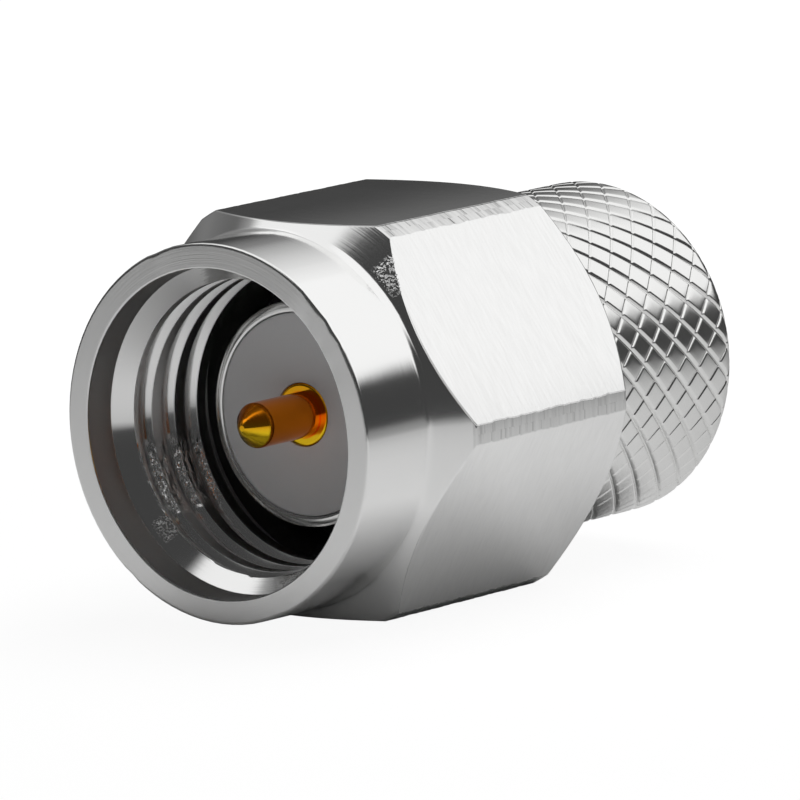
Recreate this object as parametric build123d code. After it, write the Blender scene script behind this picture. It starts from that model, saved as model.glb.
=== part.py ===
from build123d import *
import math
import os

# Terminating plug for a small threaded coaxial line: a free turning hexagon nut on a load body.
# Millimetres. The axis is Y, the mating end looks towards -Y, and +Z is up.
# The origin is on the axis at the reference plane, where two mated outer conductors meet.

# Coupling nut, outside
nut_across_flats = 7.94
nut_corner_diameter = 8.97
nut_nose_diameter = 7.62
nut_nose_length = 1.96
nut_length = 8.20
nut_overhang = 2.70
nut_rim_round = 0.07
nut_neck_fillet = 0.35
nut_front_cone_angle = 45.0
nut_rear_cone_angle = 45.0
nut_rear_face_diameter = 7.50

# Coupling nut, inside
entry_diameter = 6.66
entry_depth = 0.72
entry_cone_angle = 45.0
thread_major_diameter = 6.35
thread_end_depth = 0.25
relief_diameter = 6.60
relief_end_depth = 0.95
nut_chamber_diameter = 6.46
nut_chamber_depth = 2.90

# Front body
nose_diameter = 4.59
nose_edge = 0.10
gasket_seat_depth = 2.75
body_diameter = 5.90
body_spigot_diameter = 5.20
spigot_length = 1.50
body_nut_clearance = 0.10
nut_barrel_gap = 0.20

# Snap ring and its two grooves
ring_width = 0.42
ring_section_height = 0.75
ring_setback = 1.35
ring_axial_clearance = 0.04
ring_radial_clearance = 0.05
ring_nut_clearance = 0.10
ring_gap = 1.20

# Gasket
gasket_thickness = 0.75
gasket_outer_diameter = 6.10
gasket_bore_clearance = 0.05
gasket_edge_round = 0.12

# Front insulator
bead_diameter = 4.10
bead_length = 3.80
bead_collar_diameter = 4.30
bead_collar_length = 0.50
bead_fit_clearance = 0.01

# Centre pin
pin_diameter = 0.92
pin_reach = 1.90
pin_tip_diameter = 0.20
pin_cone_length = 0.40
pin_shoulder_diameter = 1.27
pin_cup_diameter = 1.70
pin_cup_length = 0.80
pin_cup_floor = 0.20

# Load resistor and its caps
rod_diameter = 0.98
resistor_end_clearance = 0.36
cap_wall = 0.12
cap_length = 0.75
cap_fit_clearance = 0.01

# Matching sleeve
sleeve_front_bore = 3.30
sleeve_rear_bore = 1.60
sleeve_fit_clearance = 0.01

# Ground collet
collet_flange_thickness = 0.25
collet_wall = 0.22
collet_length = 0.62
collet_slot_width = 0.15
collet_slot_count = 4
collet_rim_clearance = 0.05

# Pressure washer
washer_thickness = 0.20
washer_height = 0.55
washer_bore = 2.30
washer_outer_diameter = 4.70

# Knurled barrel
barrel_diameter = 6.90
barrel_length = 4.53
barrel_end_round_length = 0.72
barrel_end_round_height = 1.64
barrel_bore_clearance = 0.02
knurl_count = 31
knurl_angle = 45.0
knurl_depth = 0.08
knurl_groove_width = 0.11
knurl_end_reach = 0.62

# How far a cutting tool starts before and runs past the metal
cut_overrun = 1.0

# Places along the axis, worked out from the sizes above
nut_front = -nut_overhang
nut_rear = nut_front + nut_length
bead_rear = bead_length
ring_centre = nut_rear - ring_setback
barrel_front = nut_rear + nut_barrel_gap
barrel_rear = barrel_front + barrel_length
spigot_end = barrel_front + spigot_length
collet_flange_rear = spigot_end + collet_flange_thickness
barrel_floor = collet_flange_rear + washer_height
pin_cup_rear = bead_rear + pin_cup_length
front_cap_front = bead_rear + pin_cup_floor
rod_front = front_cap_front + cap_wall
rear_cap_rear = barrel_floor - resistor_end_clearance
rod_rear = rear_cap_rear - cap_wall


def turned(points, rounds=()):
    """Turn a closed outline of (radius, axial place) points about the axis, with some corners rounded."""
    face = make_face(Polyline(*points, close=True))
    for corner, radius in rounds:
        place = Vector(*points[corner], 0)
        vertex = min(face.vertices(), key=lambda v: (v.center() - place).length)
        face = fillet(vertex, radius)
    return revolve(face, Axis.Y, 360)


def tube(outer_diameter, inner_diameter, front, rear):
    """A plain tube, or a rod where the inner diameter is zero."""
    outer = outer_diameter / 2
    inner = inner_diameter / 2
    return turned([(inner, front), (outer, front), (outer, rear), (inner, rear)])


def nut_outside():
    """Turned blank with nose and two cones, cut to a hexagon with flats above and below."""
    nose = nut_nose_diameter / 2
    corner = nut_corner_diameter / 2
    rear_face = nut_rear_face_diameter / 2
    nose_end = nut_front + nut_nose_length
    cone_end = nose_end + (corner - nose) / math.tan(math.radians(nut_front_cone_angle))
    rear_cone = nut_rear - (corner - rear_face) / math.tan(math.radians(nut_rear_cone_angle))
    outline = [
        (0, nut_front),
        (nose, nut_front),
        (nose, nose_end),
        (corner, cone_end),
        (corner, rear_cone),
        (rear_face, nut_rear),
        (0, nut_rear),
    ]
    blank = turned(outline, [(2, nut_neck_fillet), (1, nut_rim_round)])
    hexagon = RegularPolygon(nut_across_flats / 2, 6, major_radius=False)
    bar = extrude(Plane.XZ.offset(-nut_rear) * hexagon, nut_length)
    return blank & bar


def nut_inside():
    """Entry, thread bore, relief, chamber, rear bore and the groove for the snap ring, as one cutter."""
    entry = entry_diameter / 2
    thread = thread_major_diameter / 2
    relief = relief_diameter / 2
    chamber = nut_chamber_diameter / 2
    rear_bore = body_diameter / 2 + body_nut_clearance
    entry_end = nut_front + entry_depth
    cone_end = entry_end + (entry - thread) / math.tan(math.radians(entry_cone_angle))
    outline = [
        (0, nut_front - cut_overrun),
        (entry, nut_front - cut_overrun),
        (entry, entry_end),
        (thread, cone_end),
        (thread, thread_end_depth),
        (relief, thread_end_depth),
        (relief, relief_end_depth),
        (chamber, relief_end_depth),
        (chamber, nut_chamber_depth),
        (rear_bore, nut_chamber_depth),
        (rear_bore, nut_rear + cut_overrun),
        (0, nut_rear + cut_overrun),
    ]
    groove_radius = ring_outer_radius() + ring_nut_clearance
    half = ring_width / 2 + 1.5 * ring_axial_clearance
    groove = tube(2 * groove_radius, 0, ring_centre - half, ring_centre + half)
    return turned(outline) + groove


def ring_inner_radius():
    """The snap ring sits half in the body's groove and half in the nut's."""
    return body_diameter / 2 - ring_section_height / 2 - ring_nut_clearance / 2


def ring_outer_radius():
    """Outer radius of the snap ring."""
    return ring_inner_radius() + ring_section_height


def coupling_nut():
    """Hexagon nut that turns freely on the body."""
    return nut_outside() - nut_inside()


def snap_ring():
    """Flat split ring; its gap is at the top."""
    half = ring_width / 2
    ring = tube(2 * ring_outer_radius(), 2 * ring_inner_radius(), ring_centre - half, ring_centre + half)
    reach = 2 * ring_outer_radius()
    gap = Pos(0, ring_centre, reach / 2) * Box(ring_gap, 2 * ring_width, reach)
    return ring - gap


def interface_gasket():
    """Flat rubber ring on the seat behind the thread."""
    inner = nose_diameter / 2 + gasket_bore_clearance
    outer = gasket_outer_diameter / 2
    rear = gasket_seat_depth
    front = rear - gasket_thickness
    outline = [(inner, front), (outer, front), (outer, rear), (inner, rear)]
    return turned(outline, [(0, gasket_edge_round), (1, gasket_edge_round)])


def front_body():
    """Outer conductor: nose, gasket seat, ring groove, bearing length for the nut, and rear spigot."""
    nose = nose_diameter / 2
    main = body_diameter / 2
    spigot = body_spigot_diameter / 2
    outline = [
        (0, 0),
        (nose - nose_edge, 0),
        (nose, nose_edge),
        (nose, gasket_seat_depth),
        (main, gasket_seat_depth),
        (main, barrel_front),
        (spigot, barrel_front),
        (spigot, spigot_end),
        (0, spigot_end),
    ]
    body = turned(outline)
    half = ring_width / 2 + ring_axial_clearance
    groove_floor = 2 * (ring_inner_radius() - ring_radial_clearance)
    groove = tube(2 * main + cut_overrun, groove_floor, ring_centre - half, ring_centre + half)
    collar_front = bead_rear - bead_collar_length
    bead_bore = tube(bead_diameter + 2 * bead_fit_clearance, 0, -cut_overrun, spigot_end)
    rear_bore = tube(bead_collar_diameter + 2 * bead_fit_clearance, 0, collar_front, spigot_end + cut_overrun)
    return body - groove - bead_bore - rear_bore


def front_insulator():
    """Bead with a rear collar that the body's step holds; its front is level with the reference plane."""
    bore = pin_shoulder_diameter / 2 + bead_fit_clearance
    bead = bead_diameter / 2
    collar = bead_collar_diameter / 2
    collar_front = bead_rear - bead_collar_length
    outline = [
        (bore, 0),
        (bead, 0),
        (bead, collar_front),
        (collar, collar_front),
        (collar, bead_rear),
        (bore, bead_rear),
    ]
    return turned(outline)


def centre_pin():
    """Pin with a blunt cone tip, the thicker shoulder through the bead, and the rear cup."""
    tip = pin_tip_diameter / 2
    pin = pin_diameter / 2
    shoulder = pin_shoulder_diameter / 2
    cup = pin_cup_diameter / 2
    cup_bore = rod_diameter / 2 + cap_wall + 2 * cap_fit_clearance
    outline = [
        (0, -pin_reach),
        (tip, -pin_reach),
        (pin, pin_cone_length - pin_reach),
        (pin, 0),
        (shoulder, 0),
        (shoulder, bead_rear),
        (cup, bead_rear),
        (cup, pin_cup_rear),
        (cup_bore, pin_cup_rear),
        (cup_bore, front_cap_front),
        (0, front_cap_front),
    ]
    return turned(outline)


def resistor_cap(closed_end, direction):
    """Drawn cap over one end of the rod; direction points along the axis from its floor to its mouth."""
    inner = rod_diameter / 2 + cap_fit_clearance
    outer = inner + cap_wall
    floor = closed_end + direction * cap_wall
    mouth = closed_end + direction * cap_length
    outline = [(0, closed_end), (outer, closed_end), (outer, mouth), (inner, mouth), (inner, floor), (0, floor)]
    return turned(outline)


def resistor_rod():
    """Ceramic rod that carries the resistive film."""
    return tube(rod_diameter, 0, rod_front, rod_rear)


def matching_sleeve():
    """Sleeve whose bore tapers towards the grounded end of the resistor."""
    outer = bead_collar_diameter / 2 + bead_fit_clearance - sleeve_fit_clearance
    outline = [
        (sleeve_front_bore / 2, bead_rear),
        (outer, bead_rear),
        (outer, spigot_end),
        (sleeve_rear_bore / 2, spigot_end),
    ]
    return turned(outline)


def ground_collet():
    """Flanged collet, slotted from the rear, that grips the resistor's rear cap."""
    bore = rod_diameter / 2 + cap_wall + 2 * cap_fit_clearance
    sleeve = bore + collet_wall
    flange = barrel_bore_radius() - collet_rim_clearance
    collet_rear = spigot_end + collet_length
    outline = [
        (bore, spigot_end),
        (flange, spigot_end),
        (flange, collet_flange_rear),
        (sleeve, collet_flange_rear),
        (sleeve, collet_rear),
        (bore, collet_rear),
    ]
    collet = turned(outline)
    slot_length = collet_rear - collet_flange_rear
    for step in range(collet_slot_count):
        slot = Pos(0, collet_rear - slot_length / 2, sleeve / 2) * Box(collet_slot_width, slot_length, sleeve)
        collet -= slot.rotate(Axis.Y, step * 360 / collet_slot_count)
    return collet


def pressure_washer():
    """Cone spring washer between the collet's flange and the barrel's floor."""
    inner = washer_bore / 2
    outer = washer_outer_diameter / 2
    rise = washer_height - washer_thickness
    front = collet_flange_rear
    outline = [
        (outer, front),
        (outer, front + washer_thickness),
        (inner, front + rise + washer_thickness),
        (inner, front + rise),
    ]
    return turned(outline)


def barrel_bore_radius():
    """The barrel's bore, a light press on the body's spigot."""
    return body_spigot_diameter / 2 + barrel_bore_clearance


def barrel_profile(travel):
    """Radius and axial place after a distance along the side: straight, then a quarter ellipse."""
    radius = barrel_diameter / 2
    straight = barrel_length - barrel_end_round_length
    if travel <= straight:
        return radius, barrel_front + travel
    turn = min((travel - straight) / round_travel(), 1) * math.pi / 2
    drop = barrel_end_round_height * (1 - math.cos(turn))
    return radius - drop, barrel_front + straight + barrel_end_round_length * math.sin(turn)


def round_travel():
    """Length along the quarter ellipse of the rounded end."""
    steps = 200
    length = 0
    for step in range(steps):
        turn = (step + 0.5) / steps * math.pi / 2
        along = barrel_end_round_length * math.cos(turn)
        across = barrel_end_round_height * math.sin(turn)
        length += math.hypot(along, across) * math.pi / 2 / steps
    return length


def barrel_point(turn_angle, travel, depth):
    """A point of the barrel's outside, sunk by a depth."""
    radius, place = barrel_profile(travel)
    return Vector((radius - depth) * math.cos(turn_angle), place, (radius - depth) * math.sin(turn_angle))


def flat_triangle(a, b, c):
    """One planar triangle."""
    return Face(Wire.make_polygon([a, b, c], close=True))


def diamond_faces(centre_angle, centre_travel, half_angle, half_travel, inset):
    """One knurl diamond: two facets on top and four sloped sides down to the groove floors."""
    corners = [(-1, 0), (0, -1), (1, 0), (0, 1)]
    floor = []
    top = []
    for across, along in corners:
        angle = centre_angle + across * half_angle
        travel = centre_travel + along * half_travel
        floor.append(barrel_point(angle, travel, knurl_depth))
        angle = centre_angle + across * half_angle * inset
        travel = centre_travel + along * half_travel * inset
        top.append(barrel_point(angle, travel, 0))
    faces = [flat_triangle(top[0], top[1], top[3]), flat_triangle(top[2], top[3], top[1])]
    for k in range(4):
        following = (k + 1) % 4
        faces.append(flat_triangle(top[k], floor[k], floor[following]))
        faces.append(flat_triangle(top[k], floor[following], top[following]))
    return faces


def knurled_skin():
    """The barrel's whole outside: crossed grooves over the side and round, then a smooth end."""
    radius = barrel_diameter / 2
    half_angle = math.pi / knurl_count
    half_travel = radius * half_angle / math.tan(math.radians(knurl_angle))
    cell_side = math.hypot(radius * half_angle, half_travel)
    inset = 1 - knurl_groove_width / 2 / (radius * half_angle * half_travel / cell_side)
    knurled = barrel_length - barrel_end_round_length + knurl_end_reach * round_travel()
    rows = round(knurled / half_travel)
    step = knurled / rows
    faces = []
    for row in range(1, rows):
        for column in range(knurl_count):
            angle = (2 * column + 1 + row % 2) * half_angle
            faces += diamond_faces(angle, row * step, half_angle, step, inset)
    for row, neighbour in ((0, 1), (rows, rows - 1)):
        for column in range(knurl_count):
            angle = (2 * column + 1 + row % 2) * half_angle
            peak = barrel_point(angle, neighbour * step, knurl_depth)
            middle = barrel_point(angle, row * step, knurl_depth)
            for side in (-1, 1):
                corner = barrel_point(angle + side * half_angle, row * step, knurl_depth)
                faces.append(flat_triangle(corner, middle, peak))
    ring_angles = [(k + rows % 2) * half_angle for k in range(2 * knurl_count)]
    total = barrel_length - barrel_end_round_length + round_travel()
    rings = 3
    for ring in range(rings):
        start = knurled + (total - knurled) * ring / rings
        end = knurled + (total - knurled) * (ring + 1) / rings
        start_depth = knurl_depth * (1 - ring / rings)
        end_depth = knurl_depth * (1 - (ring + 1) / rings)
        for k in range(2 * knurl_count):
            a = barrel_point(ring_angles[k], start, start_depth)
            b = barrel_point(ring_angles[k] + half_angle, start, start_depth)
            c = barrel_point(ring_angles[k] + half_angle, end, end_depth)
            d = barrel_point(ring_angles[k], end, end_depth)
            faces.append(flat_triangle(a, b, c))
            faces.append(flat_triangle(a, c, d))
    rear = [barrel_point(angle, total, 0) for angle in ring_angles]
    faces.append(Face(Wire.make_polygon(rear, close=True)))
    front_angles = [k * half_angle for k in range(2 * knurl_count)]
    front = [barrel_point(angle, 0, knurl_depth) for angle in front_angles]
    faces.append(Face(Wire.make_polygon(front, close=True)))
    return Solid(Shell(faces))


def knurled_barrel():
    """Rear housing: a blind cap pressed on the body's spigot, with a diamond knurl outside."""
    bore = tube(2 * barrel_bore_radius(), 0, barrel_front - cut_overrun, barrel_floor)
    return knurled_skin() - bore


parts = {
    "coupling_nut": coupling_nut,
    "snap_ring": snap_ring,
    "interface_gasket": interface_gasket,
    "front_body": front_body,
    "front_insulator": front_insulator,
    "centre_pin": centre_pin,
    "resistor_front_cap": lambda: resistor_cap(front_cap_front, 1),
    "resistor_rod": resistor_rod,
    "resistor_rear_cap": lambda: resistor_cap(rear_cap_rear, -1),
    "matching_sleeve": matching_sleeve,
    "ground_collet": ground_collet,
    "pressure_washer": pressure_washer,
    "knurled_barrel": knurled_barrel,
}

os.makedirs("parts", exist_ok=True)
for name, make in parts.items():
    export_step(make(), f"parts/{name}.step")
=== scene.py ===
import math

import bmesh
import bpy
import numpy as np
from mathutils import Matrix, Vector


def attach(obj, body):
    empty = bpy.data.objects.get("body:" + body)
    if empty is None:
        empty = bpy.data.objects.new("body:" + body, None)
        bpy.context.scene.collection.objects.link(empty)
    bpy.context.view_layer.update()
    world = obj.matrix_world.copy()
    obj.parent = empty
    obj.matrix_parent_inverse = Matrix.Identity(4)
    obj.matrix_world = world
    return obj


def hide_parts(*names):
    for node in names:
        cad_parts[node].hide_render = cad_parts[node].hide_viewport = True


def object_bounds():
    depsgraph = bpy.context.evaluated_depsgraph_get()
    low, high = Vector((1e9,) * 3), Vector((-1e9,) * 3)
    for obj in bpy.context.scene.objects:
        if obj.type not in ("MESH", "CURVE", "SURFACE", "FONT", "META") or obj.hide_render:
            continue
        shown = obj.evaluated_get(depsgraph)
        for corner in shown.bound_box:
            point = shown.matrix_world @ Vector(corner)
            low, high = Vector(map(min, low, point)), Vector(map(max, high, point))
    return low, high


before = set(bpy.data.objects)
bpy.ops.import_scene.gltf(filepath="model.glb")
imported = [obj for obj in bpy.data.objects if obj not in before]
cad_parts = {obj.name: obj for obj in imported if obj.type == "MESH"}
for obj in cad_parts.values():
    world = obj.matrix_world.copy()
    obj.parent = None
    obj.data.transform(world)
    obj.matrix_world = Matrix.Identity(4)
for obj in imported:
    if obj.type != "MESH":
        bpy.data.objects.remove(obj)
cad_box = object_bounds()

# The camera. It looks at the plug from its mating end, partly from the side and a little from above. Its long
# lens stands 0.2 m away, so that the hexagon's edges stay almost parallel, as in the photograph.
mm = 0.001
aim = np.array([0, 4.25, 0]) * mm
azimuth, elevation, roll = np.radians([38.53, 9.66, -1.22])
distance = 208.4 * mm
off_centre = np.array([0.690, 0.322]) * mm
sensor_width = 36.0
pixels_per_slope = 10305.0
image_width = 800

look = -np.array([
    np.sin(azimuth) * np.cos(elevation),
    -np.cos(azimuth) * np.cos(elevation),
    np.sin(elevation),
])
level = np.array([np.cos(azimuth), np.sin(azimuth), 0])
rise = np.cross(level, look)
across = np.cos(roll) * level + np.sin(roll) * rise
upward = np.cos(roll) * rise - np.sin(roll) * level
stand = aim - off_centre[0] * across - off_centre[1] * upward - distance * look

camera_data = bpy.data.cameras.new("camera")
camera_data.sensor_width = sensor_width
camera_data.lens = pixels_per_slope / image_width * sensor_width
camera_data.clip_start = 0.01
camera_data.clip_end = 10
camera = bpy.data.objects.new("camera", camera_data)
camera_place = np.stack([across, upward, -look, stand], axis=-1)
camera.matrix_world = Matrix(np.vstack([camera_place, [0, 0, 0, 1]]).tolist())
bpy.context.scene.collection.objects.link(camera)
bpy.context.scene.camera = camera

# The coupling nut, a piece of nickel plated brass. It is turned from round bar with a nose and two cones and
# milled to a hexagon, and its right-hand inside thread is cut up to the relief. It turns freely on the body.
nut_front, nut_rear = -2.70, 5.50
across_flats = 7.94
strip_radius, strip_chatter, flat_rows = 4.468, 0.011, 160
half_strip = math.pi / 6 - math.acos(across_flats / 2 / strip_radius)
nose_radius, nose_end = 3.81, -0.74
neck_fillet, rim_round, edge_round = 0.22, 0.06, 0.03
rear_face_radius = 3.75
entry_radius, entry_end = 3.31, -1.98
lead_in_angle = math.radians(40)
root_radius, crest_radius, flank_angle = 3.175, 2.96, math.radians(30)
pitch, thread_turn, root_flat, flank_ease = 25.4 / 36, 0.080, 0.27, 0.1
first_turn, run_out = -2, math.radians(60)
thread_end, relief_radius, relief_end = 0.70, 3.30, 0.95
chamber_radius, chamber_end = 3.23, 2.90
bearing_radius, groove_radius = 3.05, 3.375
groove_front, groove_rear = 3.88, 4.42


def closed_surface(name, radii, places, angles, joins=None, merge=2e-4):
    """A skin round the Y axis on a grid of two parameters, outline step and turn angle.

    Step i at angle number t lies at radius radii[i, t] and place places[i, t] along the axis, in millimetres,
    and at turn angle angles[i, t] or angles[t]. Neighbours are joined by quads, the last to the first, and
    points that coincide are merged. Where the last angle meets the first, step i meets step joins[i], because
    a thread has gone on by one pitch.
    """
    steps, turns = radii.shape
    x, y, z = radii * np.cos(angles), places, radii * np.sin(angles)
    points = np.stack([x, y, z], axis=-1).reshape(-1, 3) * mm
    i, t = np.meshgrid(np.arange(steps), np.arange(turns), indexing="ij")
    following, beside = (i + 1) % steps, (t + 1) % turns
    joins = np.arange(steps) if joins is None else joins
    met = np.where(beside == 0, joins[i], i)
    met_next = np.where(beside == 0, joins[following], following)
    around = [i * turns + t, met * turns + beside, met_next * turns + beside, following * turns + t]
    quads = np.stack(around, axis=-1)
    mesh = bpy.data.meshes.new(name)
    mesh.from_pydata(points.tolist(), [], quads.reshape(-1, 4).tolist())
    return finished(name, mesh, merge)


def finished(name, mesh, merge, sharp_angle=20):
    """Merges coinciding points, closes slits, turns faces outwards, smooths up to an angle, and links."""
    work = bmesh.new()
    work.from_mesh(mesh)
    bmesh.ops.remove_doubles(work, verts=work.verts, dist=merge * mm)
    bmesh.ops.dissolve_degenerate(work, dist=merge * mm, edges=work.edges)
    bmesh.ops.delete(work, geom=[edge for edge in work.edges if not edge.link_faces], context="EDGES")
    bmesh.ops.holes_fill(work, edges=[edge for edge in work.edges if edge.is_boundary], sides=4)
    bmesh.ops.recalc_face_normals(work, faces=work.faces)
    work.to_mesh(mesh)
    work.free()
    mesh.set_sharp_from_angle(angle=math.radians(sharp_angle))
    piece = bpy.data.objects.new(name, mesh)
    bpy.context.scene.collection.objects.link(piece)
    return piece


def rounded(corner, before, after, reach, steps=3):
    """Points of a quadratic curve that cuts a corner, with one point more on the straight side at each end.

    It starts and ends a reach away along the two sides, and never takes more than a share of a side.
    """
    most_of_side, beyond = 0.4, 1.2
    corner, before, after = np.broadcast_arrays(*[np.asarray(p, float) for p in (corner, before, after)])
    back, forth = before - corner, after - corner
    back_length, forth_length = np.linalg.norm(back, axis=0), np.linalg.norm(forth, axis=0)
    reach = np.minimum(reach, most_of_side * np.minimum(back_length, forth_length))
    back = back / back_length * reach
    forth = forth / forth_length * reach
    s = np.linspace(0, 1, steps + 1).reshape(-1, *[1] * corner.ndim)
    curve = corner + (1 - s) ** 2 * back + s ** 2 * forth
    return [corner + beyond * back, *curve, corner + beyond * forth]


def turned_piece(name, outline, turns=192):
    """A closed outline of (radius, place) points carried round the axis as one skin."""
    radii, places = np.array(outline, float).T[:, :, None]
    angles = np.arange(turns) * 2 * math.pi / turns
    return closed_surface(name, radii + 0 * angles, places + 0 * angles, angles)


def hexagon_directions(flat_steps=14, strip_steps=5):
    """Turn angles whose lines run through the hexagon's flats and its turned corner strips.

    Lines lie closer together beside each strip's two edges, where the milled flat cuts the turned strip.
    """
    beside_edge = np.array([0.02, 0.08])
    flat = np.linspace(half_strip, math.pi / 3 - half_strip, flat_steps + 1)
    strip = np.linspace(-half_strip, half_strip, strip_steps + 1)
    near = half_strip + beside_edge / strip_radius
    sector = np.concatenate([strip, near, flat[1:-1], math.pi / 3 - near[::-1]])
    return np.concatenate([sector + k * math.pi / 3 for k in range(6)])


def chattered_row(angles, place, chatter):
    """Turn angles and radii of one row of the hexagon, whose strips are rougher by a chatter for each corner.

    A strip of radius r meets the flats half_strip = 30 degrees - acos(apothem / r) from its corner. The lines
    of the skin move there with it, and between the edges they keep their shares of strip and flat.
    """
    apothem = across_flats / 2
    corner = np.arange(7) * math.pi / 3
    half_here = math.pi / 6 - np.arccos(apothem / (strip_radius + chatter))
    usual = np.stack([corner - half_strip, corner + half_strip], axis=-1).reshape(-1)
    here = np.stack([corner - half_here, corner + half_here], axis=-1).reshape(-1)
    moved = np.interp(angles, usual, here)
    number = np.round(angles / (math.pi / 3)).astype(int)
    on_strip = np.abs(angles - corner[number]) < half_strip - 1e-6
    flat = apothem / np.cos(np.mod(moved, math.pi / 3) - math.pi / 6)
    return moved, np.where(on_strip, strip_radius + chatter[number], flat)


def thread_radius(place, angle):
    """Bore radius of the thread: flat crest, flank, flat root and flank again, once in each pitch.

    The flanks ease a little into the crest and the root. The first groove runs out behind the lead-in cone.
    """
    crest, flank = thread_phases()
    turns = place / pitch + angle / (2 * math.pi) + thread_turn
    cut = np.interp(np.mod(turns, 1), [0, crest, crest + flank, 1 - flank, 1], [0, 0, 1, 1, 0])
    cut = (1 - flank_ease) * cut + flank_ease * cut * cut * (3 - 2 * cut)
    cut = cut * np.where(turns < first_turn, np.clip(1 - angle / run_out, 0, 1), 1)
    return crest_radius + (root_radius - crest_radius) * cut


def thread_phases():
    """Shares of the pitch that the crest and one flank take; the root flat takes the rest."""
    flank = (root_radius - crest_radius) * math.tan(flank_angle) / pitch
    return 1 - root_flat - 2 * flank, flank


def thread_rows(angles):
    """Rows of points along the bore: level ones down the lead-in cone, then ones that follow the helix.

    The helix's rows stop at the cone's inner edge and at the relief, and the wider of cone and thread is cut.
    Gives radii, places and, for each row, the row that it meets after a whole turn.
    """
    level_steps, crest_steps, flank_steps, root_steps = 13, 3, 5, 2
    crest, flank = thread_phases()
    stops = np.concatenate([
        np.linspace(0, crest, crest_steps + 1),
        np.linspace(crest, crest + flank, flank_steps + 1)[1:],
        np.linspace(crest + flank, 1 - flank, root_steps + 1)[1:],
        np.linspace(1 - flank, 1, flank_steps + 1)[1:-1],
    ])
    first = math.floor(entry_end / pitch)
    last = math.ceil(thread_end / pitch) + 2
    phases = (np.arange(first, last)[:, None] + stops).reshape(-1, 1)
    lead_in_end = entry_end + (entry_radius - crest_radius) * math.tan(lead_in_angle)
    level_places = np.linspace(entry_end, lead_in_end, level_steps + 1)[:-1, None] + 0 * angles
    places = np.clip((phases - angles / (2 * math.pi) - thread_turn) * pitch, lead_in_end, thread_end)
    places = np.concatenate([level_places, places])
    lead_in = entry_radius - (places - entry_end) / math.tan(lead_in_angle)
    level_count, row = len(level_places), np.arange(len(places))
    joins = np.where(row < level_count, row, np.maximum(row - len(stops), level_count))
    return np.maximum(thread_radius(places, angles), lead_in), places, joins


def wave(along, seed):
    """A rough but smooth line between -1 and 1 along a length in millimetres: sine waves added together."""
    waves = [(2.3, 0.30), (6.1, 0.24), (14.7, 0.22), (27.9, 0.14), (41.3, 0.10)]
    return sum(size * np.sin((rate + seed) * along + seed * rate) for rate, size in waves)


def dent(angles, centre, half_width):
    """A smooth bump of height 1 in turn angle, nil beyond its half width, both in degrees."""
    away = (np.degrees(angles) - centre + 180) % 360 - 180
    return np.clip(1 - (away / half_width) ** 2, 0, 1) ** 2


def nut_outline(angles):
    """The nut's whole section at each turn angle: outside from front to rear, and then the bore forward."""
    edge_gap, end_calm = 0.05, 12
    apothem = across_flats / 2
    off_flat = np.mod(angles, math.pi / 3) - math.pi / 6
    hexagon = np.minimum(apothem / np.cos(off_flat), strip_radius)
    cone_meets = nose_end + hexagon - nose_radius
    rear_meets = nut_rear - (hexagon - rear_face_radius)
    whole = np.ones_like(angles)
    worn = rim_dents(angles)
    turned_rows = {}
    corners = {
        "bore_front": (entry_radius * whole, nut_front + 0.5 * worn),
        "rim": (nose_radius - worn, nut_front * whole),
        "neck": (nose_radius * whole, nose_end * whole),
        "front_arc": (hexagon, cone_meets),
        "rear_arc": (hexagon, rear_meets),
        "rear_rim": (rear_face_radius * whole, nut_rear * whole),
        "bore_rear": (bearing_radius * whole, nut_rear * whole),
    }
    corner = {name: np.array(values) for name, values in corners.items()}
    rows = rounded(corner["rim"], corner["bore_front"], corner["neck"], rim_round + worn, 5)
    for s in (0.3, 0.6):
        on_nose = corner["rim"] * (1 - s) + corner["neck"] * s
        rows.append(on_nose + np.array([worn * s, 0 * worn]))
    rows += rounded(corner["neck"], corner["rim"], corner["front_arc"], neck_fillet / 2, 6)
    rows += rounded(corner["front_arc"], corner["neck"], corner["rear_arc"], edge_round, 3)
    for s in (np.arange(flat_rows) + 0.5) / flat_rows:
        place = cone_meets + edge_gap + (rear_meets - cone_meets - 2 * edge_gap) * s
        level = place[0]
        calm = strip_chatter * min(1, end_calm * s, end_calm * (1 - s))
        seeds = np.mod(np.arange(7), 6) * 0.37 + 1
        moved, radius = chattered_row(angles, place, calm * wave(level, seeds))
        rows.append(np.array([radius, place]))
        turned_rows[len(rows) - 1] = moved
    rows += rounded(corner["rear_arc"], corner["front_arc"], corner["rear_rim"], edge_round, 3)
    rows += rounded(corner["rear_rim"], corner["rear_arc"], corner["bore_rear"], rim_round, 3)
    inside = [
        (bearing_radius, nut_rear), (bearing_radius, groove_rear), (groove_radius, groove_rear),
        (groove_radius, groove_front), (bearing_radius, groove_front), (bearing_radius, chamber_end),
        (chamber_radius, chamber_end), (chamber_radius, relief_end), (relief_radius, relief_end),
        (relief_radius, thread_end),
    ]
    rows += [np.array([r * whole, y * whole]) for r, y in inside]
    thread_radii, thread_places, thread_joins = thread_rows(angles)
    joins = np.concatenate([np.arange(len(rows)), len(rows) + len(thread_joins) - 1 - thread_joins[::-1]])
    rows += [np.array(pair) for pair in zip(thread_radii[::-1], thread_places[::-1])]
    broken_edge = 0.025 + 0.03 * dent(angles, -112, 30) + 0.02 * dent(angles, 150, 60)
    entry_rear = (entry_radius * whole, entry_end * whole)
    rows += rounded(corner["bore_front"], entry_rear, corner["rim"], broken_edge, 2)
    row_angles = np.array([turned_rows.get(number, angles) for number in range(len(rows))])
    joins = np.concatenate([joins, np.arange(len(joins), len(rows))])
    return np.array([row[0] for row in rows]), np.array([row[1] for row in rows]), row_angles, joins


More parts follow.
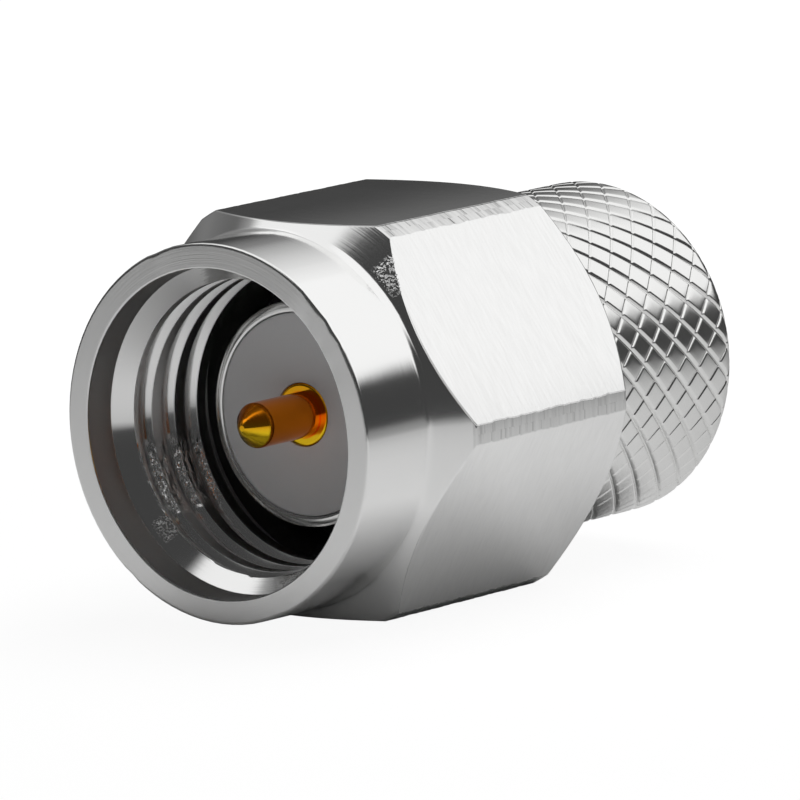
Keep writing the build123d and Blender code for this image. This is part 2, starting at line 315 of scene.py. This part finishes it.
def rim_dents(angles):
    """How far knocks have pushed in the rim's outer edge at each turn angle, in millimetres."""
    knocks = [
        (47, 7, 0.030), (39, 3, 0.035), (28, 8, 0.015),
        (112, 4, 0.020), (-128, 3, 0.02), (-70, 9, 0.01),
    ]
    return sum(depth * dent(angles, centre, half_width) for centre, half_width, depth in knocks)


nut_angles = hexagon_directions()
radii, places, row_angles, joins = nut_outline(nut_angles)
coupling_nut = closed_surface("hexagon_coupling_nut", radii, places, row_angles, joins)
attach(coupling_nut, "coupling_nut")
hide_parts("coupling_nut")


class Wire:
    """One output of a material's nodes. Sums, products and the like of wires add Math nodes."""

    def __init__(self, tree, socket):
        self.tree = tree
        self.socket = socket

    def node(self, kind, inputs=(), **settings):
        """Adds a node of a type, with its settings and then its inputs, and gives its first output."""
        made = self.tree.nodes.new(kind)
        for name, value in settings.items():
            setattr(made, name, value)
        for name, value in dict(inputs).items():
            if isinstance(value, Wire):
                self.tree.links.new(value.socket, made.inputs[name])
            else:
                made.inputs[name].default_value = value
        return Wire(self.tree, made.outputs[0])

    def math(self, operation, *values):
        """A Math node of this wire and further values."""
        return self.node("ShaderNodeMath", enumerate((self, *values)), operation=operation)

    def __add__(self, other):
        return self.math("ADD", other)

    def __radd__(self, other):
        return self.math("ADD", other)

    def __mul__(self, other):
        return self.math("MULTIPLY", other)

    def __rmul__(self, other):
        return self.math("MULTIPLY", other)

    def __sub__(self, other):
        return self.math("SUBTRACT", other)

    def __rsub__(self, other):
        return (self * -1).math("ADD", other)

    def __truediv__(self, other):
        return self.math("DIVIDE", other)

    def __pow__(self, other):
        return self.math("POWER", other)

    def between(self, low, high):
        """0 below one value, 1 above another and a smooth rise from one to the other."""
        inputs = {"Value": self, "From Min": low, "From Max": high}
        return self.node("ShaderNodeMapRange", inputs, interpolation_type="SMOOTHSTEP")

    def within(self, first, last):
        """1 inside two edges, each a pair of values: a rise over the first and a fall over the last."""
        return self.between(*first) * (1 - self.between(*last))

    def noise(self, scale, detail=2.0, roughness=0.5):
        """Noise at the place that this wire holds."""
        inputs = {"Vector": self, "Scale": scale, "Detail": detail, "Roughness": roughness}
        return self.node("ShaderNodeTexNoise", inputs)


def new_material(name, **constants):
    """A material with a Principled shader. Gives the material, a wire to build from, and the shader node."""
    material = bpy.data.materials.new(name)
    material.use_nodes = True
    tree = material.node_tree
    shader = tree.nodes["Principled BSDF"]
    for socket, value in constants.items():
        shader.inputs[socket.replace("_", " ")].default_value = value
    place = Wire(tree, tree.nodes.new("ShaderNodeTexCoord").outputs["Object"])
    return material, place, shader


def feed(shader, **wires):
    """Links wires to a shader's sockets, named with underscores for blanks."""
    for socket, wire in wires.items():
        wire.tree.links.new(wire.socket, shader.inputs[socket.replace("_", " ")])


def turned_coordinates(place):
    """Radius, place along the axis, turn angle, x and z, in millimetres, from coordinates in metres."""
    per_metre = 1000
    split = place.node("ShaderNodeSeparateXYZ", {0: place})
    outputs = {name: Wire(place.tree, split.socket.node.outputs[name]) for name in "XYZ"}
    x, y, z = outputs["X"] * per_metre, outputs["Y"] * per_metre, outputs["Z"] * per_metre
    radius = (x * x + z * z) ** 0.5
    return radius, y, z.math("ARCTAN2", x), x, z


def combined(place, x, y, z):
    """A vector of three wires or numbers."""
    return place.node("ShaderNodeCombineXYZ", {0: x, 1: y, 2: z})


def bright_metal(name, colour, roughness, ring_height):
    """Bright metal: fine rings round the axis as bump, and a roughness that drifts a little."""
    ring_rate, ring_twist, drift_rate, drift_range = 24, 0.6, 420.0, 0.10
    material, place, shader = new_material(name, Base_Color=(*colour, 1), Metallic=1.0, Roughness=roughness)
    radius, along, turn, x, z = turned_coordinates(place)
    rings = combined(place, radius * ring_rate, along * ring_rate, turn * ring_twist).noise(1.0, 3.0)
    drift = place.noise(drift_rate, 2.0)
    height = place.node("ShaderNodeBump", {"Height": rings, "Strength": 1.0, "Distance": ring_height * mm})
    feed(shader, Roughness=drift * drift_range + (roughness - drift_range / 2), Normal=height)
    return material


def bumped(place, height):
    """A normal from a height in millimetres."""
    return place.node("ShaderNodeBump", {"Height": height, "Strength": 1.0, "Distance": mm})


# Each edge of a zone on the nut is a pair of radii, of places or of turn angles, from nothing to full.
flat_depth, flat_front, strip_depth = (3.955, 3.966), (-0.66, -0.62), (4.41, 4.43)
bore_depth, entry_front, entry_rear = (3.335, 3.36), (-2.69, -2.66), (-2.0, -1.97)
rim_rear, thread_front = (-2.695, -2.68), (-1.70, -1.62)
torn_first, torn_last, torn_depth, torn_rear = (-2.97, -2.80), (-2.50, -2.38), (3.10, 3.20), (0.0, 0.6)
flank_inner, flank_outer = (2.962, 2.985), (3.09, 3.15)
burr_first, burr_last, burr_depth, burr_rear = (0.74, 0.80), (0.88, 0.95), (3.90, 4.00), (-0.20, -0.12)
left_burrs, bottom_burrs = [(-2.43, -2.36), (-2.30, -2.24)], [(-1.32, -1.26), (-1.16, -1.10)]
lead_in_front, lead_in_rear, speck_edge = (-1.92, -1.84), (-1.70, -1.64), (0.52, 0.56)

nut_nickel, place, shader = new_material("nut_nickel")
radius, along, turn, x, z = turned_coordinates(place)
off_flat = turn.math("FLOORED_MODULO", math.pi / 3) - math.pi / 6
outward, sideways = radius * off_flat.math("COSINE"), radius * off_flat.math("SINE")
in_mm = place.node("ShaderNodeVectorMath", {0: place, 1: (1000, 1000, 1000)}, operation="MULTIPLY")
on_flat = outward.between(*flat_depth) * along.between(*flat_front)
on_strip = radius.between(*strip_depth) * (1 - on_flat)
in_bore = 1 - radius.between(*bore_depth)
on_entry = in_bore * along.within(entry_front, entry_rear)
on_rim = 1 - along.between(*rim_rear)
on_thread = in_bore * along.between(*thread_front)
torn_side = turn.within(torn_first, torn_last)
torn = on_thread * (1 - radius.between(*torn_depth)) * torn_side * (1 - along.between(*torn_rear))
on_flank = radius.within(flank_inner, flank_outer)
burr_side = turn.within(burr_first, burr_last)
burrs = burr_side * radius.between(*burr_depth) * (1 - along.between(*burr_rear)) * (1 - on_flat)
inner_side = turn.within(*left_burrs) + turn.within(*bottom_burrs)
burrs = burrs + inner_side * in_bore * along.within(lead_in_front, lead_in_rear)
burrs = burrs * in_mm.noise(20.0, 1.0).between(*speck_edge)

# The marks of each finish: how high they stand in millimetres, and how much they darken and roughen; the
# darkening of the entry bore and of the thread's crests and roots is painted shade inside the bore.
turning_height, rim_height, torn_height, burr_height = 0.0008, 0.0011, 0.16, 0.05
streak_height, crown_height, strip_height, crown_edge = 0.0010, 0.014, 0.006, 0.9
bright, streak_shade, strip_shade, strip_dim = 0.93, 0.12, 0.22, 0.14
entry_painted_shade, thread_painted_shade, middle_streak = 0.50, 0.20, 0.4
polish, drift_range, entry_rough, rim_rough, groove_rough, crest_rough = 0.07, 0.08, 0.30, 0.12, 0.20, 0.02
burr_dullness = 0.60

streaks = combined(place, along * 15 + sideways * 1.2, sideways * 2.0, x * 0.4).noise(1.0, 2.0)
strip_marks = combined(place, along * 9, sideways * 0.5, x * 0.2).noise(1.0, 2.0).between(0.50, 0.72)
turning_marks = combined(place, radius * 24, along * 24, x * 0.3 + z * 0.3).noise(1.0, 3.0)
rim_marks = combined(place, radius * 110, x * 0.8, z * 0.8).noise(1.0, 1.0)
tearing = combined(place, radius * 6, along * 6, turn * 11).noise(1.0, 3.0, 0.5)
crown = (sideways - crown_edge).math("MINIMUM", 0.0)
drift = in_mm.noise(0.42, 2.0)
height = turning_marks * turning_height + on_rim * rim_marks * rim_height + torn * tearing * torn_height
height = height + on_flat * (streaks * streak_height - crown * crown * crown_height)
height = height + on_strip * strip_marks * strip_height
height = height + burrs * in_mm.noise(18.0, 2.0, 0.6) * burr_height
grey = bright - on_flat * (streaks - middle_streak) * streak_shade
# Painted shade: the smooth entry bore and the thread's crests and roots are darkened inside the bore.
grey = grey - on_strip * (strip_marks * strip_shade + strip_dim) - on_entry * entry_painted_shade
grey = grey - on_thread * (1 - on_flank) * (1 - torn) * thread_painted_shade
roughness = drift * drift_range + on_entry * entry_rough + on_rim * rim_rough
roughness = roughness + on_thread * ((1 - on_flank) * groove_rough + crest_rough) + polish
feed(shader, Base_Color=combined(place, grey, grey, grey * 0.993), Normal=bumped(place, height))
feed(shader, Roughness=roughness, Metallic=1 - burrs * burr_dullness)
coupling_nut.data.materials.append(nut_nickel)

# The snap ring, a flat ring of spring steel with a gap. It is stamped and hardened, and it sits half in the
# body's groove and half in the nut's, so that the nut turns but cannot come off.


def dress(node, material):
    """Gives one material to a piece that keeps its own solid."""
    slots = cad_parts[node].data.materials
    slots.clear()
    slots.append(material)


spring_steel = bright_metal("spring_steel", (0.62, 0.62, 0.60), 0.30, 0.0008)
dress("snap_ring", spring_steel)

# The gasket, a flat ring of silicone rubber, cut from sheet. It lies behind the thread round the body's
# nose, and the jack's end presses on it. Its near-black colour is partly the rubber's and partly painted
# shade for the hollow behind the thread.
grain_rate, grain_height = 9000.0, 0.003 * mm
rubber, place, shader = new_material("rubber_dark_as_shade", Base_Color=(0.02, 0.02, 0.02, 1), Roughness=0.6)
grain = place.noise(grain_rate, 2.0)
grained = place.node("ShaderNodeBump", {"Height": grain, "Strength": 0.6, "Distance": grain_height})
feed(shader, Roughness=grain * 0.2 + 0.5, Normal=grained)
dress("interface_gasket", rubber)

# The body, the outer conductor of the plug. It is turned from brass and nickel plated, its thin front ring is
# the reference plane, and the bead sits in its bore against a step.
nose_outer, body_outer, spigot_outer = 2.295, 2.95, 2.60
bead_bore, collar_bore, collar_start = 2.06, 2.16, 3.30
gasket_seat, barrel_seat, spigot_rear = 2.75, 5.70, 7.20
ring_floor, ring_slot_front, ring_slot_rear = 2.475, 3.90, 4.40
nose_round, bore_round = 0.13, 0.05

outline = [
    *rounded((nose_outer, 0), (0, 0), (nose_outer, gasket_seat), nose_round, 4),
    (nose_outer, gasket_seat), (body_outer, gasket_seat),
    (body_outer, ring_slot_front), (ring_floor, ring_slot_front), (ring_floor, ring_slot_rear),
    (body_outer, ring_slot_rear), (body_outer, barrel_seat), (spigot_outer, barrel_seat),
    (spigot_outer, spigot_rear), (collar_bore, spigot_rear), (collar_bore, collar_start),
    (bead_bore, collar_start),
    *rounded((bead_bore, 0), (bead_bore, collar_start), (nose_outer, 0), bore_round, 2),
]
body = turned_piece("plug_body", outline)
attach(body, "load_body")
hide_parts("front_body")
body_nickel = bright_metal("body_nickel", (0.92, 0.92, 0.91), 0.14, 0.0006)
body.data.materials.append(body_nickel)

# The bead, a turned piece of waxy white-grey insulator with a lightly broken front edge. It is pressed into
# the body from behind up to its collar.
bead_outer, bead_inner, collar_outer, bead_end = 2.05, 0.645, 2.15, 3.80
bead_round, hole_round = 0.05, 0.02
outline = [
    *rounded((bead_outer, 0), (bead_inner, 0), (bead_outer, collar_start), bead_round, 2),
    (bead_outer, collar_start), (collar_outer, collar_start),
    (collar_outer, bead_end), (bead_inner, bead_end),
    *rounded((bead_inner, 0), (bead_inner, bead_end), (bead_outer, 0), hole_round, 2),
]
bead = turned_piece("front_bead", outline)
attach(bead, "load_body")
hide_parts("front_insulator")
bead_plastic, place, shader = new_material("bead_plastic", Base_Color=(0.93, 0.93, 0.94, 1), Roughness=0.5)
cloud = place.noise(900.0, 3.0)
feed(shader, Roughness=cloud * 0.2 + 0.40)
bead.data.materials.append(bead_plastic)

# The centre pin, turned from springy bronze and gold plated. It has a domed cone, a thicker shoulder in the
# bead and a cup behind it, which holds the resistor's front cap.
pin_tip, pin_radius, shoulder_radius = 0.10, 0.46, 0.635
pin_front, cone_end, cup_radius, cup_bore = -1.90, -1.50, 0.85, 0.64
cup_rear, cup_floor = 4.60, 4.00
tip_flat, dome_swell, pin_round = 0.6 * pin_tip, 0.12, 0.05

dome = np.linspace(0, 1, 9)[1:-1]
dome_radii = pin_tip + (pin_radius - pin_tip) * (dome + dome_swell * dome * (1 - dome))
dome_places = pin_front + (cone_end - pin_front) * dome
outline = [
    (0, pin_front), (tip_flat, pin_front), *zip(dome_radii, dome_places),
    *rounded((pin_radius, cone_end), (pin_tip, pin_front), (pin_radius, 0), pin_round, 3),
    (pin_radius, 0),
    *rounded((shoulder_radius, 0), (pin_radius, 0), (shoulder_radius, bead_end), pin_round, 3),
    (shoulder_radius, bead_end), (cup_radius, bead_end), (cup_radius, cup_rear), (cup_bore, cup_rear),
    (cup_bore, cup_floor), (0, cup_floor),
]
pin = turned_piece("gold_centre_pin", outline, turns=96)
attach(pin, "load_body")
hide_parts("centre_pin")
gold, place, shader = new_material("gold_plating", Metallic=1.0, Roughness=0.12)
radius, along, turn, x, z = turned_coordinates(place)
# Painted highlight: the gold is lighter and more yellow on the cone, on the shoulder and on the lower side.
highlight_edge, cone_edge, shoulder_edge = (-0.15, 0.20), (-1.54, -1.50), (0.465, 0.50)
yellow, cone_highlight, cone_low_highlight, shoulder_highlight, shoulder_low_highlight = 0.27, 0.03, 0.38, 0.20, 0.17
ring_rate, ring_height, blue_share = 30, 0.0008, 0.03
highlight_side = 1 - z.between(*highlight_edge)
on_cone = 1 - along.between(*cone_edge)
on_shoulder = radius.between(*shoulder_edge)
rings = combined(place, radius * ring_rate, along * ring_rate, x * 0.5).noise(1.0, 2.0)
highlighted_green = on_cone * (highlight_side * cone_low_highlight + cone_highlight)
highlighted_green = highlighted_green + on_shoulder * (highlight_side * shoulder_low_highlight + shoulder_highlight) + yellow
colour = combined(place, 1.0, highlighted_green, highlighted_green * blue_share)
feed(shader, Base_Color=colour, Normal=bumped(place, rings * ring_height))
pin.data.materials.append(gold)

# The load inside: a ceramic rod with two drawn caps, the tapered sleeve round it, the slotted collet and the
# cone washer. They are stacked in the body's bore and pressed together by the barrel.
plain_brass = bright_metal("plain_brass", (0.80, 0.62, 0.32), 0.28, 0.0008)
ceramic, place, shader = new_material("ceramic", Base_Color=(0.85, 0.84, 0.80, 1), Roughness=0.6)
feed(shader, Roughness=place.noise(3000.0, 2.0) * 0.2 + 0.5)
for node in ("resistor_front_cap", "resistor_rear_cap", "matching_sleeve", "ground_collet"):
    dress(node, plain_brass)
dress("resistor_rod", ceramic)
dress("pressure_washer", spring_steel)

# The barrel, a blind cap turned from brass with a rounded end. It is knurled with crossed rollers, nickel
# plated and pressed on the body's spigot.
barrel_radius, barrel_front, barrel_length = 3.45, 5.70, 4.53
barrel_rear = barrel_front + barrel_length
round_length, round_height = 0.72, 1.64
bore_radius, bore_floor, bore_chamfer = 2.62, 8.00, 0.05
end_ring_radius = 1.2
knurl_count, groove_floor = 31, 0.010
main_depth, main_half = 0.046, 0.062
cross_depth, cross_half = 0.022, 0.040
knurl_share, knurl_fade = 0.62, 0.5


def barrel_side(travel):
    """Radius, place and outward slope after a distance along the side: straight, then a quarter ellipse."""
    straight = barrel_length - round_length
    turn = np.clip((travel - straight) / round_travel, 0, 1) * math.pi / 2
    radius = barrel_radius - round_height * (1 - np.cos(turn))
    place = barrel_front + np.minimum(travel, straight) + round_length * np.sin(turn)
    outward = np.stack([round_length * np.cos(turn), round_height * np.sin(turn)])
    return radius, place, outward / np.linalg.norm(outward, axis=0)


quarter = (np.arange(400) + 0.5) / 400 * math.pi / 2
round_travel = np.hypot(round_length * np.cos(quarter), round_height * np.sin(quarter)).mean() * math.pi / 2
knurl_end = barrel_length - round_length + knurl_share * round_travel
half_turn = math.pi / knurl_count
half_travel = knurl_end / round(knurl_end / (barrel_radius * half_turn))


def groove_section(half, floor, depth):
    """Places across one diamond from groove to groove, as shares of its width, and how deep each is sunk."""
    slope = [0, floor, half * 0.55, half, half * 1.4]
    stops = np.concatenate([slope, np.linspace(half * 1.4, 0.5, 3)[1:]])
    stops = np.concatenate([stops, 1 - stops[-2::-1]])
    return stops, depth * np.interp(np.minimum(stops, 1 - stops), slope, [1, 1, 0.50, 0.05, 0])


width = math.sqrt(2) * barrel_radius * half_turn
knurl_rows = round(knurl_end / half_travel)
main_stops, main_sunk = groove_section(main_half / width, groove_floor / width, main_depth)
cross_stops, cross_sunk = groove_section(cross_half / width, groove_floor / width, cross_depth)


def knurled_skin():
    """Diamonds between crossed helical grooves, one grid of two groove directions for each diamond.

    Along each direction the depth is full at the groove's floor, falls on a slope, and is nil on the flat.
    The main grooves are the deeper ones and run through, and the cross grooves end in them.
    A diamond's middle goes round by two half turns a column, and along by half a diamond a row.
    """
    one, other = np.meshgrid(main_stops, cross_stops, indexing="ij")
    sunk = np.maximum.outer(main_sunk, cross_sunk)
    row, column = np.meshgrid(np.arange(knurl_rows + 1), np.arange(knurl_count), indexing="ij")
    row, column = row.reshape(-1, 1, 1), column.reshape(-1, 1, 1)
    angle = (2 * column + 1 + row % 2) * half_turn + (one - other) * half_turn
    travel = (row + one + other - 1) * half_travel
    travel = np.clip(travel, 0, knurl_end)
    fade = 1 - np.clip((travel - (knurl_end - knurl_fade)) / knurl_fade, 0, 1) ** 2
    radius, place, outward = barrel_side(travel)
    depth = sunk * fade
    radius, place = radius - depth * outward[0], place - depth * outward[1]
    points = np.stack([radius * np.cos(angle), place, radius * np.sin(angle)], axis=-1)
    m, n = one.shape
    a, b = np.meshgrid(np.arange(m - 1), np.arange(n - 1), indexing="ij")
    corner = (a * n + b).reshape(-1)
    quad = np.stack([corner, corner + n, corner + n + 1, corner + 1], axis=-1)
    patch = np.arange(points.shape[0])[:, None, None] * m * n
    return points.reshape(-1, 3), (patch + quad).reshape(-1, 4)


def turned_skin(outline, angles, sunk=0):
    """A surface of an outline of radii and places carried round the axis: quads between steps and angles.

    The first step is sunk by a depth for each angle, as the knurl's own edge is.
    """
    turns = len(angles)
    radii, places = np.array(outline, float).T[:, :, None]
    radii = radii - np.eye(len(outline), 1) * sunk
    points = np.stack([radii * np.cos(angles), places + 0 * angles, radii * np.sin(angles)], axis=-1)
    i, t = np.meshgrid(np.arange(len(outline) - 1), np.arange(turns), indexing="ij")
    beside = (t + 1) % turns
    around = [i * turns + t, i * turns + beside, (i + 1) * turns + beside, (i + 1) * turns + t]
    quads = np.stack(around, axis=-1)
    return points.reshape(-1, 3), quads.reshape(-1, 4)


end_travel = np.linspace(knurl_end, barrel_length - round_length + round_travel, 9)
end_radius, end_place, end_outward = barrel_side(end_travel)
smooth_end = [*zip(end_radius, end_place), (end_ring_radius, barrel_rear), (0, barrel_rear)]
hollow = [
    (barrel_radius, barrel_front), (bore_radius + bore_chamfer, barrel_front),
    (bore_radius, barrel_front + bore_chamfer), (bore_radius, bore_floor), (0, bore_floor),
]
columns = 2 * np.arange(knurl_count)[:, None]
toward_main, toward_cross = main_stops[:-1], 1 - cross_stops[:0:-1]
front_angles = (columns + np.concatenate([toward_cross, 1 + toward_main])).reshape(-1) * half_turn
front_sunk = np.concatenate([0 * toward_cross + main_depth, np.maximum(main_sunk[:-1], cross_depth)])
rear_angles = columns + knurl_rows % 2 + np.concatenate([toward_main, 1 + toward_cross])
rear_angles = rear_angles.reshape(-1) * half_turn
skins = [
    knurled_skin(), turned_skin(smooth_end, rear_angles),
    turned_skin(hollow, front_angles, np.tile(front_sunk, knurl_count)),
]
mesh = bpy.data.meshes.new("knurled_barrel_skin")
starts = np.cumsum([0] + [len(skin_points) for skin_points, skin_quads in skins])
points = np.concatenate([skin_points for skin_points, skin_quads in skins]) * mm
quads = np.concatenate([skin_quads + start for (skin_points, skin_quads), start in zip(skins, starts)])
mesh.from_pydata(points.tolist(), [], quads.tolist())
barrel = finished("knurled_load_barrel", mesh, 2e-4, 40)
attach(barrel, "load_body")
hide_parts("knurled_barrel")
barrel_nickel = bright_metal("barrel_nickel", (0.90, 0.90, 0.89), 0.17, 0.0006)
barrel.data.materials.append(barrel_nickel)

# The studio: a white table under a wide soft lamp, high behind the plug and a little to the right. Painted
# shade in the table's colour darkens it to the left, far in front and behind, and a painted shadow lies left
# of the plug. The tent round it is white above and behind, fades to the left, and is dark in front, low down
# and at the far right.
# The table and the surround look white to the camera.
floor_size, floor_gap = 600 * mm, 0.005 * mm
left_dark, left_lit, left_slant = -40 * mm, -12 * mm, 0.5
front_dark, front_lit = -90 * mm, -32 * mm
behind_near, behind_far = 0 * mm, 50 * mm
behind_share, painted_shadow_share = 0.35, 0.88
near_left, near_right = -4 * mm, 1 * mm
darkest, lightest = 0.06, 0.90
camera_share, camera_glow = 0.86, 1.06
lamp_size, lamp_energy, lamp_place = 130 * mm, 0.18, (13 * mm, 60 * mm, 135 * mm)

floor_mesh = bpy.data.meshes.new("floor")
side = np.array([[-1, -1], [1, -1], [1, 1], [-1, 1]]) * floor_size / 2
floor_mesh.from_pydata([(x, y, cad_box[0][2] - floor_gap) for x, y in side], [], [(0, 1, 2, 3)])
floor = bpy.data.objects.new("floor", floor_mesh)
bpy.context.scene.collection.objects.link(floor)
table_with_painted_shade, place, shader = new_material("table_with_painted_shade", Roughness=1.0, Specular_IOR_Level=0.0)
tree = table_with_painted_shade.node_tree
split = place.node("ShaderNodeSeparateXYZ", {0: place}).socket.node
floor_x, floor_y = Wire(tree, split.outputs["X"]), Wire(tree, split.outputs["Y"])
# Painted shade on the table: darker behind, to the left and far in front, and a painted shadow left of the
# plug.
behind = 1 - floor_y.between(behind_near, behind_far) * (1 - behind_share)
slant = floor_x - floor_y * left_slant
floor_painted_light = slant.between(left_dark, left_lit) * floor_y.between(front_dark, front_lit) * behind
floor_painted_light = floor_painted_light * (slant.between(near_left, near_right) * (1 - painted_shadow_share) + painted_shadow_share)
floor_painted_light = floor_painted_light * (lightest - darkest) + darkest
feed(shader, Base_Color=combined(place, floor_painted_light, floor_painted_light, floor_painted_light))
light_path = tree.nodes.new("ShaderNodeLightPath")
camera_ray = Wire(tree, light_path.outputs["Is Camera Ray"])
glow = place.node("ShaderNodeEmission", {"Color": (1, 1, 1, 1), "Strength": camera_glow})
share = camera_ray * (1 - floor_painted_light * (1 - camera_share))
mixed = place.node("ShaderNodeMixShader", {0: share, 1: Wire(tree, shader.outputs[0]), 2: glow})
tree.links.new(mixed.socket, tree.nodes["Material Output"].inputs["Surface"])
floor.data.materials.append(table_with_painted_shade)

world = bpy.data.worlds.new("tent")
world.use_nodes = True
bpy.context.scene.world = world
tree = world.node_tree
direction = Wire(tree, tree.nodes.new("ShaderNodeTexCoord").outputs["Generated"])
split = tree.nodes.new("ShaderNodeSeparateXYZ")
tree.links.new(direction.socket, split.inputs[0])
toward_x, toward_y, toward_z = [Wire(tree, split.outputs[k]) for k in range(3)]
dark, plain, tent_white, patch_white, left_white = 0.05, 0.09, 0.95, 0.85, 0.11
edge_above, behind_edge, far_right = (0.25, 0.37), (-0.43, -0.33), (0.68, 0.82)
patch_left, patch_front, patch_low = (-0.24, -0.13), (-0.62, -0.52), (0.60, 0.70)
low_left_side, low_left_above, low_left_behind = (0.40, 0.56), (0.14, 0.30), (0.0, 0.3)
lowest_rise = 0.05
left_fade = {"From Min": -1.5, "From Max": -0.1, "To Min": 0.07, "To Max": 0.97}

above_edge = toward_z.between(*edge_above)
leaning = toward_x / toward_z.math("MAXIMUM", lowest_rise)
from_right = leaning.node("ShaderNodeMapRange", {"Value": leaning, **left_fade})
from_behind = toward_y.between(*behind_edge)
right_end = 1 - toward_x.between(*far_right)
front_patch = (1 - toward_x.between(*patch_left)) * toward_y.between(*patch_front)
front_patch = front_patch * toward_z.between(*patch_low)
low_left = (toward_x * -1).between(*low_left_side) * toward_z.between(*low_left_above)
low_left = low_left * toward_y.between(*low_left_behind)
tent = above_edge * from_right * from_behind * right_end * tent_white
tent = tent.math("MAXIMUM", front_patch * patch_white) + low_left * left_white + dark
light_path = tree.nodes.new("ShaderNodeLightPath")
camera_ray = Wire(tree, light_path.outputs["Is Camera Ray"])
glossy_ray = Wire(tree, light_path.outputs["Is Glossy Ray"])
strength = camera_ray * (1 - plain) + glossy_ray * (tent - plain) + plain
background = tree.nodes["Background"]
background.inputs["Color"].default_value = (1, 1, 1, 1)
tree.links.new(strength.socket, background.inputs["Strength"])

lamp_data = bpy.data.lights.new("soft_lamp", "AREA")
lamp_data.shape = "RECTANGLE"
lamp_data.size, lamp_data.size_y = lamp_size, lamp_size
lamp_data.energy = lamp_energy
lamp = bpy.data.objects.new("soft_lamp", lamp_data)
lamp.location = lamp_place
lamp.rotation_euler = Vector(lamp.location).to_track_quat("Z", "Y").to_euler()
lamp.visible_glossy = False
bpy.context.scene.collection.objects.link(lamp)

bpy.context.scene.view_settings.view_transform = "Standard"
